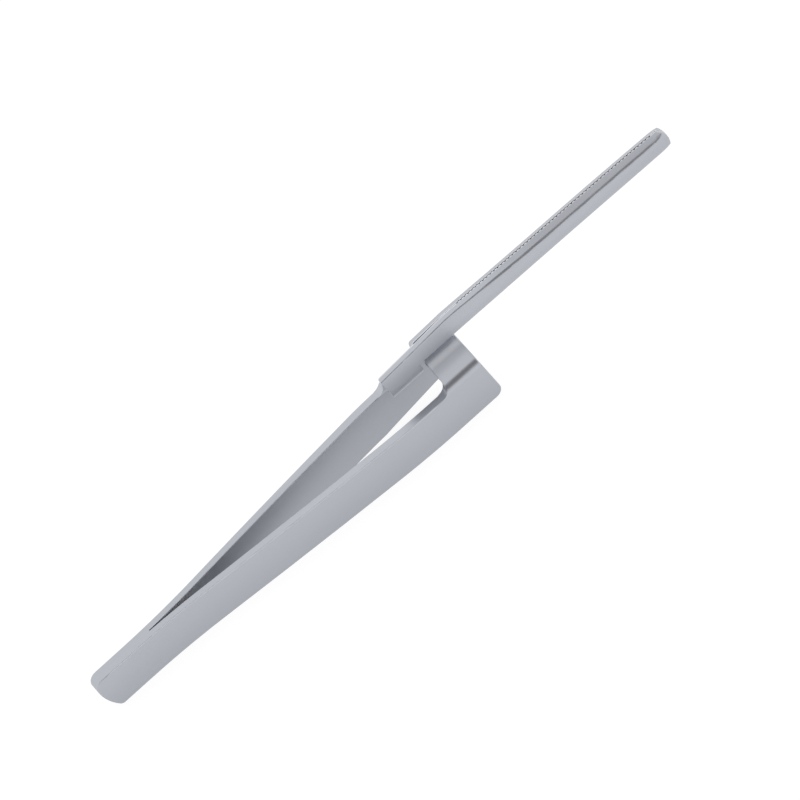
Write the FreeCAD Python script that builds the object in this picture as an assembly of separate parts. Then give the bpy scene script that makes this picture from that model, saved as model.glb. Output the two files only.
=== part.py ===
import FreeCAD, Part
import math
import os

from FreeCAD import Vector

# Cross-action bracket forceps. Two bowed spring arms are brazed face to face at the rear. Near the front
# each arm folds over the middle as a web and carries a long serrated jaw on the far side, so that
# squeezing the arms opens the jaws and letting go closes them.
# X runs from the rear end to the tip, Z is up, and Y is the way that the arms open. The forceps lie on
# the lower long edges of both arms, at Z = 0, and the jaws meet at Y = 0. Distances along X are counted
# from the rear end, and the finished arms are moved back by half the length, which puts the origin
# under the middle. Lengths are in millimetres and angles in degrees.

# Strips of the two arms
arm_length = 98.3
strip_height_rear = 8.8
strip_height_front = 9.3
strip_thickness_rear = 1.54
strip_thickness_front = 2.0
nose_height = 6.3
nose_radius = 10.5
rear_top_radius = 2.2
rear_bottom_radius = 1.2
front_corner_radius = 1.9
strip_edge_radius = 0.18

# The left arm's lower edge rises from the middle of its last curve to its front end
left_taper_rise = 2.85

# Bow of the arms, seen from above: slopes of the inner faces where the arms part and where they return
braze_end = 9.5
braze_fill_end = 15.5
parting_end = 28.8
parting_angle = 5.8
return_angle = 4.45
return_run = 9.2
return_lead = 0.2

# Webs that cross over the middle, counted back from the front end of the arms
right_web_length = 8.1
web_spacing = 0.85
left_web_length = 8.1
web_thickness = 1.9
web_edge_bevel = 0.2
fold_rise = 1.35
crossing_rise = 3.0
fold_radius = 2.0
root_radius = 2.3
inner_fold_radius = 0.5
relief_radius = 2.2
web_overlap = 0.8

right_web_rear = arm_length - right_web_length
left_web_front = right_web_rear - web_spacing
left_web_rear = left_web_front - left_web_length
crossing_height = strip_height_front + fold_rise + crossing_rise

# Both arms start to curve back a little behind the first web, and each is straight at its own web
return_start = left_web_rear - return_run

# Jaws, which pass over each other's webs
overall_length = 155.0
jaw_gap = 0.06
jaw_root_lead = 0.6
jaw_clearance = 0.85
left_jaw_rear_height = 3.75
right_jaw_rear_height = 4.6
left_jaw_rear_radius = 0.6
right_jaw_rear_radius = 1.6
jaw_tip_top_radius = 2.8
jaw_tip_bottom_radius = 1.6
jaw_tip_plan_radius = 1.5

jaw_root_end = arm_length + jaw_root_lead
jaw_bottom = crossing_height + jaw_clearance
blade_length = overall_length - jaw_root_end

# Outlines along a blade: share of its length, top and bottom above the root's bottom, thickness,
# slope of the crowned top, slope of the crowned bottom, and radius of the two outer corners
blade_outlines = [
    (0.00, 4.92, 0.00, 1.35, 7.0, 3.0, 0.35),
    (0.11, 4.82, -0.16, 1.44, 13.0, 6.0, 0.50),
    (0.26, 4.65, -0.34, 1.67, 22.0, 11.0, 0.78),
    (0.47, 4.40, -0.55, 1.83, 26.0, 14.0, 0.92),
    (0.73, 4.03, -0.88, 1.82, 26.0, 14.0, 0.90),
    (1.00, 3.42, -1.24, 1.66, 23.0, 12.0, 0.80),
]
jaw_places = [
    (jaw_root_end + share * blade_length, jaw_bottom + top, jaw_bottom + bottom, *form)
    for share, top, bottom, *form in blade_outlines
]

# Serrations across both contact faces
serration_lead = 3.4
serration_margin = 2.0
serration_pitch = 0.95
serration_depth = 0.2
serration_land = 0.3

# Room for cutting tools outside a shape, and a hair's breadth
margin = 5.0
hair = 0.02


def rounded_wire(corners, place):
    """Closed wire through corners (u, v, radius), each rounded by its radius; place maps u, v to space."""
    points = [Vector(u, v, 0) for u, v, radius in corners]
    arcs = []
    starts = []
    ends = []
    for i, here in enumerate(points):
        radius = corners[i][2]
        before = (points[i - 1] - here).normalize()
        after = (points[(i + 1) % len(points)] - here).normalize()
        half = before.getAngle(after) / 2
        setback = radius / math.tan(half)
        starts.append(here + before * setback)
        ends.append(here + after * setback)
        inward = (before + after).normalize()
        middle = here + inward * (radius / math.sin(half) - radius)
        arcs.append(Part.Arc(place(starts[i]), place(middle), place(ends[i])) if radius else None)
    edges = []
    for i, arc in enumerate(arcs):
        if arc:
            edges.append(arc.toShape())
        following = starts[(i + 1) % len(points)]
        edges.append(Part.LineSegment(place(ends[i]), place(following)).toShape())
    return Part.Wire(edges)


def side_prism(corners, y_from, y_to):
    """Solid whose outline is drawn in X and Z, between two values of Y."""
    wire = rounded_wire(corners, lambda p: Vector(p.x, y_from, p.y))
    return Part.Face(wire).extrude(Vector(0, y_to - y_from, 0))


def plan_prism(corners, z_from, z_to):
    """Solid whose outline is drawn in X and Y, between two values of Z."""
    wire = rounded_wire(corners, lambda p: Vector(p.x, p.y, z_from))
    return Part.Face(wire).extrude(Vector(0, 0, z_to - z_from))


def section_wire(corners, x):
    """Closed outline drawn in Y and Z at one X."""
    return rounded_wire(corners, lambda p: Vector(x, p.x, p.y))


def picked(shape, test):
    """Edges of a shape whose bounding box passes a test."""
    return [edge for edge in shape.Edges if test(edge.BoundBox)]


def at_x(box, x):
    return box.XLength < hair and abs(box.XMin - x) < hair


def bowed_path(y_start, lean, return_end):
    """Edges of one broad face seen from above, and its Y at the front; lean adds to the bow's slope."""
    stops = [
        (braze_end, 0.0),
        (parting_end, math.tan(math.radians(parting_angle)) + lean),
        (return_start, math.tan(math.radians(return_angle)) + lean),
        (return_end, 0.0),
        (arm_length, 0.0),
    ]
    edges = []
    x, y, heading = 0.0, y_start, 0.0
    for x_next, slope_next in stops:
        turned = math.atan(slope_next)
        start = Vector(x, y, 0)
        if turned == heading:
            y_next = y + (x_next - x) * math.tan(heading)
            edges.append(Part.LineSegment(start, Vector(x_next, y_next, 0)).toShape())
        else:
            radius = (x_next - x) / (math.sin(turned) - math.sin(heading))
            halfway = (heading + turned) / 2
            middle = start + Vector(radius * (math.sin(halfway) - math.sin(heading)),
                                    radius * (math.cos(heading) - math.cos(halfway)), 0)
            y_next = y + radius * (math.cos(heading) - math.cos(turned))
            edges.append(Part.Arc(start, middle, Vector(x_next, y_next, 0)).toShape())
        x, y, heading = x_next, y_next, turned
    return edges, y


def broad_faces(return_end):
    """Both broad faces of an arm seen from above, each as its edges and its Y at the front end."""
    # The strip grows thicker between its first and last curves, so its outer face leans out more
    leaning_run = (return_start + return_end) / 2 - (braze_end + parting_end) / 2
    lean = (strip_thickness_front - strip_thickness_rear) / leaning_run
    return bowed_path(0.0, 0.0, return_end), bowed_path(strip_thickness_rear, lean, return_end)


def strip_top(x):
    return strip_height_rear + (strip_height_front - strip_height_rear) * x / arm_length


def line(start, end):
    return Part.LineSegment(start, end).toShape()


def rounded_at(prism, point, radius):
    """A prism along Y with its edge through a point rounded."""
    def passes(box):
        return at_x(box, point.x) and box.ZLength < hair and abs(box.ZMin - point.z) < hair

    return prism.makeFillet(radius, picked(prism, passes))


def nose_x(z):
    """How far the rounded rear end lies behind its rearmost point at a height."""
    return nose_radius - math.sqrt(nose_radius ** 2 - (z - nose_height) ** 2)


def make_strip(inner, outer, taper_x, taper_rise):
    """The bowed flat strip of an arm on the +Y side, with its edges eased."""
    (inner_edges, inner_front), (outer_edges, outer_front) = inner, outer
    rear_line = line(Vector(0, strip_thickness_rear, 0), Vector(0, 0, 0))
    front_line = line(Vector(arm_length, inner_front, 0), Vector(arm_length, outer_front, 0))
    plan = Part.Wire(inner_edges + [front_line] + list(reversed(outer_edges)) + [rear_line])
    bowed = Part.Face(plan).extrude(Vector(0, 0, strip_height_rear + strip_height_front))

    rear_top = Vector(nose_x(strip_height_rear), 0, strip_height_rear)
    rear_bottom = Vector(nose_x(0), 0, 0)
    front_top = Vector(arm_length, 0, strip_height_front)
    front_bottom = Vector(arm_length, 0, taper_rise)
    taper_start = Vector(taper_x, 0, 0)
    outline = Part.Wire([
        Part.Arc(rear_top, Vector(0, 0, nose_height), rear_bottom).toShape(),
        line(rear_bottom, taper_start),
        line(taper_start, front_bottom),
        line(front_bottom, front_top),
        line(front_top, rear_top),
    ])
    side = Part.Face(outline).extrude(Vector(0, outer_front + margin, 0))
    side = rounded_at(side, rear_top, rear_top_radius)
    side = rounded_at(side, rear_bottom, rear_bottom_radius)
    side = rounded_at(side, front_bottom, front_corner_radius)
    strip = bowed.common(side)

    def rim(box):
        across = box.XLength < hair and box.ZLength < hair
        upright = box.XLength < hair and box.YLength < hair and hair < box.XMin < arm_length - hair
        return not (across or upright)

    # Each arm keeps its half of the braze, which fills the groove and the narrow start of the wedge
    brazed = side.common(Part.makeBox(braze_fill_end, strip_thickness_rear / 2, strip_height_front))
    return strip.makeFillet(strip_edge_radius, picked(strip, rim)).fuse(brazed)


def make_web(rear, front, inner_front, outer_front):
    """The fold, the slanted web and the bend up into the jaw, from the arm at +Y to the jaw at -Y."""
    slope = crossing_rise / outer_front
    drop = web_thickness * math.sqrt(1 + slope ** 2)
    thickness = jaw_places[0][3]
    low = strip_top(rear) - strip_edge_radius - web_overlap
    high = jaw_bottom + web_overlap
    contact = -jaw_gap / 2
    section = [
        (outer_front, low, 0),
        (outer_front, crossing_height - slope * outer_front, fold_radius),
        (contact, crossing_height - slope * contact, inner_fold_radius),
        (contact, high, 0),
        (-thickness, high, 0),
        (-thickness, crossing_height - drop + slope * thickness, root_radius),
        (inner_front, crossing_height - drop - slope * inner_front, inner_fold_radius),
        (inner_front, low, 0),
    ]

    def folded(x_from, x_to):
        return Part.Face(section_wire(section, x_from)).extrude(Vector(x_to - x_from, 0, 0))

    def rim(box):
        cut_edge = box.ZLength < hair and (abs(box.ZMin - low) < hair or abs(box.ZMin - high) < hair)
        return (at_x(box, rear) or at_x(box, front)) and not cut_edge

    def gusset(edge_x, side):
        foot = strip_top(edge_x) - hair
        x_far = edge_x + side * (relief_radius + hair)
        x_in = edge_x - side * 2 * web_edge_bevel
        top = foot + relief_radius + hair
        outline = side_prism([(x_far, low, 0), (x_far, foot, 0), (edge_x, foot, relief_radius),
                              (edge_x, top, 0), (x_in, top, 0), (x_in, low, 0)],
                             inner_front - hair, outer_front + hair)
        return folded(min(x_far, x_in), max(x_far, x_in)).common(outline)

    web = folded(rear, front)
    web = web.makeChamfer(web_edge_bevel, picked(web, rim)).fuse(gusset(rear, -1))
    return web.fuse(gusset(front, 1)) if front < arm_length else web


def jaw_section(x, top, bottom, thickness, top_slope, bottom_slope, radius):
    """Outline of a jaw at -Y: flat where it meets the other, crowned and rounded outside."""
    contact = -jaw_gap / 2
    width = thickness + contact
    return section_wire([
        (contact, bottom, 0),
        (-thickness, bottom + width * math.tan(math.radians(bottom_slope)), radius),
        (-thickness, top - width * math.tan(math.radians(top_slope)), radius),
        (contact, top, 0),
    ], x)


def make_jaw(rear, rear_height, rear_radius):
    """A jaw at -Y: straight root, crowned blade, rounded tip, and serrations across its contact face."""
    root_front = jaw_places[0]
    root_rear = (rear, jaw_bottom + rear_height) + root_front[2:]
    root = Part.makeLoft([jaw_section(*root_rear), jaw_section(*root_front)], True, True)
    blade = Part.makeLoft([jaw_section(*place) for place in jaw_places], True, False)
    jaw = root.fuse(blade)

    tip, tip_top, tip_bottom, tip_thickness = jaw_places[-1][:4]
    middle = (rear + tip) / 2
    side = side_prism([
        (rear, root_rear[1] + hair, rear_radius),
        (jaw_root_end, root_front[1] + hair, 0),
        (jaw_root_end, root_front[1] + margin, 0),
        (middle, root_front[1] + margin, 0),
        (tip, tip_top + hair, jaw_tip_top_radius),
        (tip, tip_bottom - hair, jaw_tip_bottom_radius),
        (rear, tip_bottom - hair, 0),
    ], -margin, margin)
    plan = plan_prism([
        (tip, margin, 0),
        (rear - margin, margin, 0),
        (rear - margin, -margin, 0),
        (middle, -margin, 0),
        (tip, -tip_thickness - hair, jaw_tip_plan_radius),
    ], 0, root_front[1] + margin)
    return jaw.common(side).common(plan)


def serration_comb(shift):
    """Row of wedges that cuts V grooves across the contact face of the jaw at -Y, moved along by a shift."""
    half_width = (serration_pitch - serration_land) / 2
    steepness = serration_depth / half_width
    root_y = -jaw_gap / 2 - serration_depth
    crest_y = root_y + steepness * serration_pitch / 2
    first = jaw_root_end + serration_lead + shift
    count = int((overall_length - serration_margin - first) / serration_pitch)
    points = [Vector(first, crest_y, 0)]
    for i in range(count):
        x = first + i * serration_pitch
        points.append(Vector(x + serration_pitch / 2, root_y, 0))
        points.append(Vector(x + serration_pitch, crest_y, 0))
    points.append(Vector(points[-1].x, margin, 0))
    points.append(Vector(first, margin, 0))
    points.append(points[0])
    return Part.Face(Part.makePolygon(points)).extrude(Vector(0, 0, 2 * jaw_places[0][1]))


def make_arm(web_rear, web_front, taper_rise, jaw_rear_height, jaw_rear_radius, comb_shift):
    """A whole arm whose strip is at +Y and whose jaw is at -Y, forged and folded as one piece."""
    return_end = web_rear - relief_radius - return_lead
    inner, outer = broad_faces(return_end)
    strip = make_strip(inner, outer, (return_start + return_end) / 2, taper_rise)
    web = make_web(web_rear, web_front, inner[1], outer[1])
    jaw = make_jaw(web_rear, jaw_rear_height, jaw_rear_radius).cut(serration_comb(comb_shift))
    return strip.fuse([web, jaw]).removeSplitter()


# The right jaw's crests face the left jaw's grooves
left_arm = make_arm(left_web_rear, left_web_front, left_taper_rise,
                    left_jaw_rear_height, left_jaw_rear_radius, 0)
right_arm = make_arm(right_web_rear, arm_length, 0,
                     right_jaw_rear_height, right_jaw_rear_radius, serration_pitch / 2)
right_arm = right_arm.mirror(Vector(0, 0, 0), Vector(0, 1, 0))

os.makedirs("parts", exist_ok=True)
for name, shape in (("left_arm", left_arm), ("right_arm", right_arm)):
    solid = shape.Solids[0]
    solid.translate(Vector(-overall_length / 2, 0, 0))
    print(name, len(shape.Solids), "solid,", len(solid.Faces), "faces,", round(solid.Volume, 1), "mm3")
    solid.exportStep("parts/" + name + ".step")
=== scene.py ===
import math

import bmesh
import bpy
from mathutils import Matrix, Vector


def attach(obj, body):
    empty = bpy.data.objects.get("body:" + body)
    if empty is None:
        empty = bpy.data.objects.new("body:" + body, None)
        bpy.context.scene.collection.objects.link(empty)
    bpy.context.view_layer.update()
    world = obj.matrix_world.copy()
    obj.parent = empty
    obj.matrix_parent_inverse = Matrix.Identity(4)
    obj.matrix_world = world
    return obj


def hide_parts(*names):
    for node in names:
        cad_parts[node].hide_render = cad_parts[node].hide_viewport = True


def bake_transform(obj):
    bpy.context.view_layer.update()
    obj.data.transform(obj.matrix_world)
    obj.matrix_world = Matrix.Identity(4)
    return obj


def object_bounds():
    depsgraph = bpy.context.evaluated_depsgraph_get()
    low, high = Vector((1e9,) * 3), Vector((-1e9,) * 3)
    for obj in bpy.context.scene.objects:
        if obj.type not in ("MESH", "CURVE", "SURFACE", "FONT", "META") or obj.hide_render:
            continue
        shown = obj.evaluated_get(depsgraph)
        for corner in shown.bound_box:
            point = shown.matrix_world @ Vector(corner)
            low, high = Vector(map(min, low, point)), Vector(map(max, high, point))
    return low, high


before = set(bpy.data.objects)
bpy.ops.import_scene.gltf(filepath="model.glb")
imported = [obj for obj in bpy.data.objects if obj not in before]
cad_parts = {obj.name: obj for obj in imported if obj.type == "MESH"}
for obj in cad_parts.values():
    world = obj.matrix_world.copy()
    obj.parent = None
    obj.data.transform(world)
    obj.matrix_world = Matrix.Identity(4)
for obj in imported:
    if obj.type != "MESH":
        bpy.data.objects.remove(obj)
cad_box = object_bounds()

# Cross-action bracket forceps in satin stainless steel, lying on the lower edges of both arms.
# X runs from the brazed rear end to the jaw tips, Y is the way that the arms open, and Z is up.
# Lengths are in metres, and places along the forceps are counted from their rear end.
rear_x = cad_box[0].x
tip_x = cad_box[1].x

# Where the right arm bends when the forceps are squeezed, and how finely its mesh is cut there
flex_start = 0.016
flex_end = 0.060
flex_step = 0.0015

# Tips of the jaws: over this length they are drawn in towards the middle by up to this share
tip_length = 0.0027
tip_narrowing = 0.6
tip_cuts = 8

# Shading: points this close are merged, faces are smooth together unless they meet at more than
# this angle, and large faces lead
merge_distance = 1e-6
smooth_angle = math.radians(40)
large_face_weight = 100

# Upper edge of the strips
strip_height = 0.0088
strip_rise_per_length = 0.0005 / 0.0983

# Places of the steel with a painted highlight, painted light or smoother roughness. A pair of
# lengths says where such a place starts and is full, and four say where it starts, is full, begins
# to fade and ends. They are counted along the forceps, aside from the middle, up from the floor,
# or below the strips' upper edge.

# All that lies above the strips' upper edge
webs_below = (0.00018, -0.00018)

# Painted highlight on the rounding of the strips' upper edges, up to each arm's own web
edge_highlight_below = (0.000009, 0.000027, 0.00018, 0.000207)
left_edge_highlight_along = (0.0035, 0.0045, 0.0765, 0.0785)
right_edge_highlight_along = (0.0035, 0.0045, 0.0855, 0.0875)

# Painted light on the inner faces near the rear end, where the arms close in, which lifts the
# shade between them
wedge_light_below = (0.00009, 0.00018)
wedge_light_aside = (0.0014, 0.00125)
wedge_light_along = (0.012, 0.013, 0.020, 0.036)

# Smooth folds between the strips and the webs
fold_aside = (0.0035, 0.0050)
fold_along = (0.0995, 0.0975)

# Painted light on the middle of the front web and the jaw's underside above it, which lifts the
# shade under the jaw
under_jaw_light_aside = (0.0029, 0.0016)
under_jaw_light_up = (0.01486, 0.0145)
under_jaw_light_along = (0.0897, 0.0907, 0.0975, 0.0995)

# Painted light on the contact faces of the jaws, to the depth of their serrations, which lifts
# their shade
serration_light_aside = (0.00026, 0.000218)
serration_light_up = (0.01432, 0.0145)

# Smooth crowns of the jaws
crown_up = (0.0155, 0.0170)

# Base colours of the steel: two satin tones, then a painted highlight and painted light
dark_satin = (0.385, 0.40, 0.44, 1)
light_satin = (0.505, 0.52, 0.56, 1)
painted_edge_highlight = (0.62, 0.64, 0.685, 1)
painted_serration_light = (0.66, 0.675, 0.71, 1)
painted_under_jaw_light = (0.68, 0.695, 0.735, 1)
painted_wedge_light = (0.72, 0.73, 0.755, 1)

# Shares of the tone, from dark to light satin, that grain, blotches and height give; the share by
# height is painted shade, darker towards the floor
grain_tone = 0.25
blotch_tone = 0.35
painted_shade_share = 0.40

# Roughness of the satin, what grain and blotches add to it, and what folds and crowns take off
satin_roughness = 0.40
grain_roughness = 0.06
blotch_roughness = 0.10
fold_smoothing = 0.14
crown_smoothing = 0.10

# Grain drawn along the length, blotches and specks, as cycles in a metre along each axis
grain_scale = (900, 9000, 9000)
blotch_scale = (70, 120, 120)
speck_scale = (6000, 6000, 6000)
grain_height = 0.00002
grain_strength = 0.10
speck_share = 0.5

# Camera: it looks down on the forceps from the side, and the tips point up and to the right
image_size = 800
camera_elevation = math.radians(45)
camera_roll = math.radians(41.95)
camera_distance = 5.0
camera_reach = 20
sensor_width = 0.036
pixels_per_metre = 5128
rear_end_pixel = (100.6, 694.9)
strip_middle_height = 0.00455

# Dark patch of the surroundings where the photographer stands, as angles about that direction
patch_core = math.radians(14)
patch_edge = math.radians(44)
patch_light = 0.2

# Light from all round, and the floor's own glow, which whitens it as the photograph's is
studio_light = 1.10
floor_glow = 0.90
floor_grey = (0.15, 0.15, 0.15, 1)
floor_half_width = 3.0


class Wire:
    """A shader socket that takes part in Python expressions, each of which adds its Math node."""

    def __init__(self, shader, socket):
        self.shader = shader
        self.socket = socket

    def _math(self, operation, *operands):
        return self.shader.node("ShaderNodeMath", {"operation": operation},
                                dict(enumerate(operands)))

    def __add__(self, other):
        return self._math("ADD", self, other)

    __radd__ = __add__

    def __sub__(self, other):
        return self._math("SUBTRACT", self, other)

    def __mul__(self, other):
        return self._math("MULTIPLY", self, other)

    __rmul__ = __mul__


class Shader:
    """A material with a Principled surface, whose other nodes are made by one method."""

    def __init__(self, name):
        self.material = bpy.data.materials.new(name)
        self.material.use_nodes = True
        self.tree = self.material.node_tree
        self.surface = self.tree.nodes["Principled BSDF"].inputs

    def node(self, kind, settings=None, inputs=None, output=0):
        made = self.tree.nodes.new(kind)
        for name, value in (settings or {}).items():
            setattr(made, name, value)
        for name, value in (inputs or {}).items():
            self.feed(made.inputs[name], value)
        return Wire(self, made.outputs[output])

    def feed(self, socket, value):
        if isinstance(value, Wire):
            self.tree.links.new(value.socket, socket)
        else:
            socket.default_value = value

    def here(self):
        return self.node("ShaderNodeTexCoord", output="Object")

    def coordinate(self, axis):
        return self.node("ShaderNodeSeparateXYZ", inputs={"Vector": self.here()}, output=axis)

    def noise(self, scale, detail):
        stretched = self.node("ShaderNodeMapping", {"vector_type": "POINT"},
                              {"Vector": self.here(), "Scale": scale})
        return self.node("ShaderNodeTexNoise", {"noise_dimensions": "3D"},
                         {"Vector": stretched, "Scale": 1.0, "Detail": detail})

    def ramp(self, value, start, full):
        """It goes smoothly from 0 to 1 as a value goes from start to full."""
        return self.node("ShaderNodeMapRange", {"interpolation_type": "SMOOTHSTEP"},
                         {"Value": value, "From Min": start, "From Max": full})

    def ramp_aside(self, value, start, full):
        """A ramp on a value without its sign, so that both sides of the middle get it."""
        return self.ramp(value * value, start ** 2, full ** 2)

    def band(self, value, start, full, fade, end):
        """It is 1 from full to fade, and falls smoothly to 0 at start and end."""
        return self.ramp(value, start, full) * self.ramp(value, end, fade)

    def between(self, amount, low, high):
        """A colour that goes from low to high as amount goes from 0 to 1."""
        return self.node("ShaderNodeMix", {"data_type": "RGBA"},
                         {"Factor": amount, 6: low, 7: high}, output=2)


def satin_steel(name, edge_highlight_along):
    """Stainless steel with a fine satin finish, painted shade towards the floor, a painted
    highlight on the upper edges, painted light that lifts shade in some places, and smoother at
    the folds and crowns.
    """
    shader = Shader(name)
    along = shader.coordinate("X") - rear_x
    across = shader.coordinate("Y")
    up = shader.coordinate("Z")
    below = strip_rise_per_length * along - up + strip_height
    above_strip = shader.ramp(below, *webs_below)

    # Painted highlight on the rounding of the strips' upper edges
    edge = shader.band(below, *edge_highlight_below) * shader.band(along, *edge_highlight_along)
    # Painted light on the inner faces near the rear end, lifting the shade between the arms
    wedge_light = (shader.ramp(below, *wedge_light_below)
             * shader.ramp_aside(across, *wedge_light_aside)
             * shader.band(along, *wedge_light_along))
    fold = (above_strip
            * shader.ramp_aside(across, *fold_aside)
            * shader.ramp(along, *fold_along))
    # Painted light under the near jaw, lifting the shade on the web and the jaw's underside
    under_jaw_light = (above_strip
              * shader.ramp_aside(across, *under_jaw_light_aside)
              * shader.ramp(up, *under_jaw_light_up)
              * shader.band(along, *under_jaw_light_along))
    # Painted light on the jaws' contact faces, lifting the shade of their serrations
    serration_light = shader.ramp_aside(across, *serration_light_aside) * shader.ramp(up, *serration_light_up)
    crown = shader.ramp(up, *crown_up)

    grain = shader.noise(grain_scale, detail=3)
    blotch = shader.noise(blotch_scale, detail=2)
    speck = shader.noise(speck_scale, detail=2)
    # Painted shade: darker towards the floor, lighter towards the strips' upper edge
    painted_shade_by_height = shader.ramp(up, 0, strip_height)

    tone = grain_tone * grain + blotch_tone * blotch + painted_shade_share * painted_shade_by_height
    colour = shader.between(tone, dark_satin, light_satin)
    # Painted highlight and painted light over the satin tone
    colour = shader.between(edge, colour, painted_edge_highlight)
    colour = shader.between(under_jaw_light, colour, painted_under_jaw_light)
    colour = shader.between(wedge_light, colour, painted_wedge_light)
    colour = shader.between(serration_light, colour, painted_serration_light)
    shader.feed(shader.surface["Base Color"], colour)

    rough = grain_roughness * grain + blotch_roughness * blotch + satin_roughness
    smoothing = fold_smoothing * fold + crown_smoothing * crown
    shader.feed(shader.surface["Roughness"], rough - smoothing)

    bumped = shader.node("ShaderNodeBump", inputs={
        "Strength": grain_strength, "Distance": grain_height,
        "Height": grain + speck_share * speck})
    shader.feed(shader.surface["Normal"], bumped)
    shader.surface["Metallic"].default_value = 1.0
    return shader.material


def pale_floor():
    shader = Shader("pale_floor")
    shader.surface["Base Color"].default_value = floor_grey
    shader.surface["Roughness"].default_value = 0.9
    shader.surface["Specular IOR Level"].default_value = 0.0
    shader.surface["Emission Color"].default_value = (1, 1, 1, 1)
    shader.surface["Emission Strength"].default_value = floor_glow
    return shader.material


def cut_across(arm, x):
    bmesh.ops.bisect_plane(arm, geom=arm.verts[:] + arm.edges[:] + arm.faces[:],
                           dist=merge_distance, plane_co=(x, 0, 0), plane_no=(1, 0, 0))


def round_tip(arm):
    """It draws the end of a jaw in towards the middle, along a quarter of a circle."""
    tip_start = tip_x - tip_length
    for step in range(tip_cuts):
        cut_across(arm, tip_start + tip_length * math.sin(math.pi / 2 * step / tip_cuts))
    for vertex in arm.verts:
        share = (vertex.co.x - tip_start) / tip_length
        if share > 0:
            vertex.co.y *= 1 - tip_narrowing * (1 - math.sqrt(max(0, 1 - share ** 2)))


def smooth_arm(node, name, steel):
    """A merged copy of an arm's solid, cut across where it bends, with its faces shaded smooth."""
    arm = bmesh.new()
    arm.from_mesh(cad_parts[node].data)
    bmesh.ops.remove_doubles(arm, verts=arm.verts, dist=merge_distance)
    cut = rear_x + flex_start
    while cut <= rear_x + flex_end:
        cut_across(arm, cut)
        cut += flex_step
    round_tip(arm)
    bmesh.ops.dissolve_degenerate(arm, dist=merge_distance, edges=arm.edges)
    for face in arm.faces:
        face.smooth = True
    for edge in arm.edges:
        if edge.is_manifold:
            edge.smooth = edge.calc_face_angle() < smooth_angle
    mesh = bpy.data.meshes.new(name)
    arm.to_mesh(mesh)
    arm.free()
    mesh.materials.append(steel)

    made = bpy.data.objects.new(name, mesh)
    bpy.context.scene.collection.objects.link(made)
    weigh = made.modifiers.new("weigh_large_faces", "WEIGHTED_NORMAL")
    weigh.keep_sharp = True
    weigh.weight = large_face_weight
    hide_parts(node)
    return made


def make_floor():
    sheet = bmesh.new()
    bmesh.ops.create_grid(sheet, x_segments=1, y_segments=1, size=floor_half_width)
    mesh = bpy.data.meshes.new("floor")
    sheet.to_mesh(mesh)
    sheet.free()
    mesh.materials.append(pale_floor())
    floor = bpy.data.objects.new("floor", mesh)
    bpy.context.scene.collection.objects.link(floor)


def make_camera(towards_camera):
    """A long lens at the photograph's angle, framed so that the rear end falls on its pixel."""
    level_right = Vector((1, 0, 0))
    level_up = towards_camera.cross(level_right)
    right = math.cos(camera_roll) * level_right - math.sin(camera_roll) * level_up
    up = math.sin(camera_roll) * level_right + math.cos(camera_roll) * level_up

    aim = Vector((rear_x, 0, strip_middle_height))
    across, down = rear_end_pixel
    aim += right * (image_size / 2 - across) / pixels_per_metre
    aim += up * (down - image_size / 2) / pixels_per_metre

    data = bpy.data.cameras.new("camera")
    data.sensor_width = sensor_width * 1000
    data.lens = data.sensor_width * camera_distance * pixels_per_metre / image_size
    data.clip_end = camera_reach
    camera = bpy.data.objects.new("camera", data)
    bpy.context.scene.collection.objects.link(camera)
    turn = Matrix((right, up, towards_camera)).transposed().to_4x4()
    camera.matrix_world = Matrix.Translation(aim + towards_camera * camera_distance) @ turn
    bpy.context.scene.camera = camera


def make_lights(towards_camera):
    """White light from all round, with a darker patch where the photographer stands."""
    world = bpy.data.worlds.new("studio")
    bpy.context.scene.world = world
    world.use_nodes = True
    tree = world.node_tree
    background = tree.nodes["Background"]
    background.inputs["Strength"].default_value = studio_light
    seen = tree.nodes.new("ShaderNodeTexCoord")
    nearness = tree.nodes.new("ShaderNodeVectorMath")
    nearness.operation = "DOT_PRODUCT"
    nearness.inputs[1].default_value = towards_camera
    patch = tree.nodes.new("ShaderNodeMapRange")
    patch.interpolation_type = "SMOOTHSTEP"
    patch.inputs["From Min"].default_value = math.cos(patch_edge)
    patch.inputs["From Max"].default_value = math.cos(patch_core)
    patch.inputs["To Min"].default_value = 1.0
    patch.inputs["To Max"].default_value = patch_light
    tree.links.new(seen.outputs["Generated"], nearness.inputs[0])
    tree.links.new(nearness.outputs["Value"], patch.inputs["Value"])
    tree.links.new(patch.outputs["Result"], background.inputs["Color"])
    bpy.context.scene.view_settings.view_transform = "Standard"


left_steel = satin_steel("left_satin_steel", left_edge_highlight_along)
right_steel = satin_steel("right_satin_steel", right_edge_highlight_along)
left = smooth_arm("left_arm", "left_arm_satin", left_steel)
right = smooth_arm("right_arm", "right_arm_satin", right_steel)
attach(left, "left_arm")
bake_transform(right)

photographed_from = Vector((0, -math.cos(camera_elevation), math.sin(camera_elevation)))
make_floor()
make_camera(photographed_from)
make_lights(photographed_from)
